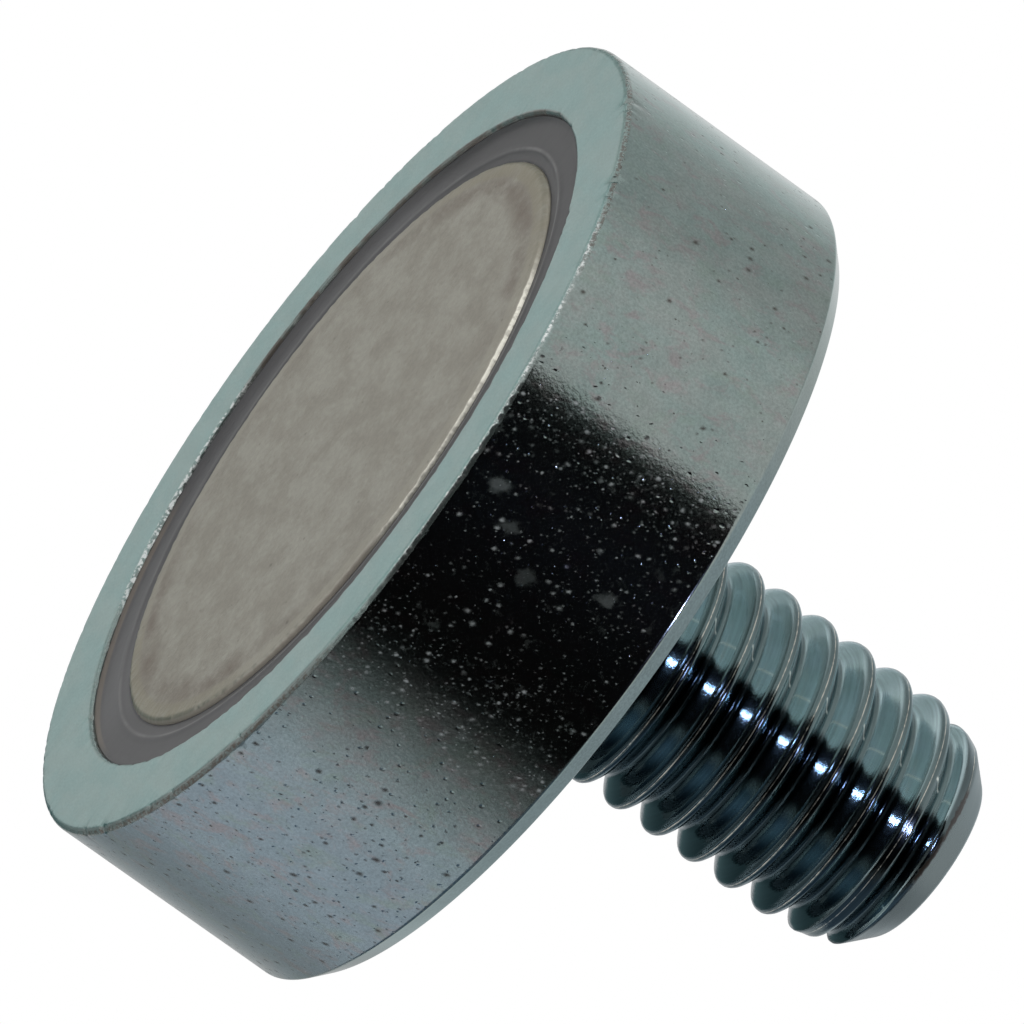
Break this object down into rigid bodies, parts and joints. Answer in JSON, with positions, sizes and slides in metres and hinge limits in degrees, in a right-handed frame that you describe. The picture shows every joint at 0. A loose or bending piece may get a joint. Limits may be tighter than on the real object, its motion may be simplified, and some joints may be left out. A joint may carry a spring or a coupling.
{
  "type": "pot magnet with threaded stud",
  "caption": "Flat round pot magnet: a zinc-plated steel cup with a nickel-plated disc magnet potted in its well, and an M6 threaded stud on its back.",
  "frame": {"origin": "centre of the cup's rim, in the plane of the rim, which is the working face", "axes": "+Z along the stud, from the working face out of the cup's back; X and Y are any two directions in the working face, because the part is round"},
  "size_m": [0.02, 0.02, 0.016],
  "materials": {
    "cup_zinc_plate": "turned steel with a blue-passivated zinc plate, satin, lightly pitted",
    "magnet_nickel_plate": "nickel plate, satin, mottled",
    "potting_resin": "cast epoxy, smooth, dark grey",
    "stud_zinc_plate": "rolled thread with a bright blue-passivated zinc plate"
  },
  "bodies": {
    "root": {"pot": "cup_zinc_plate", "magnet": "magnet_nickel_plate", "resin_ring": "potting_resin", "threaded_stud": "stud_zinc_plate"}
  },
  "joints": []
}
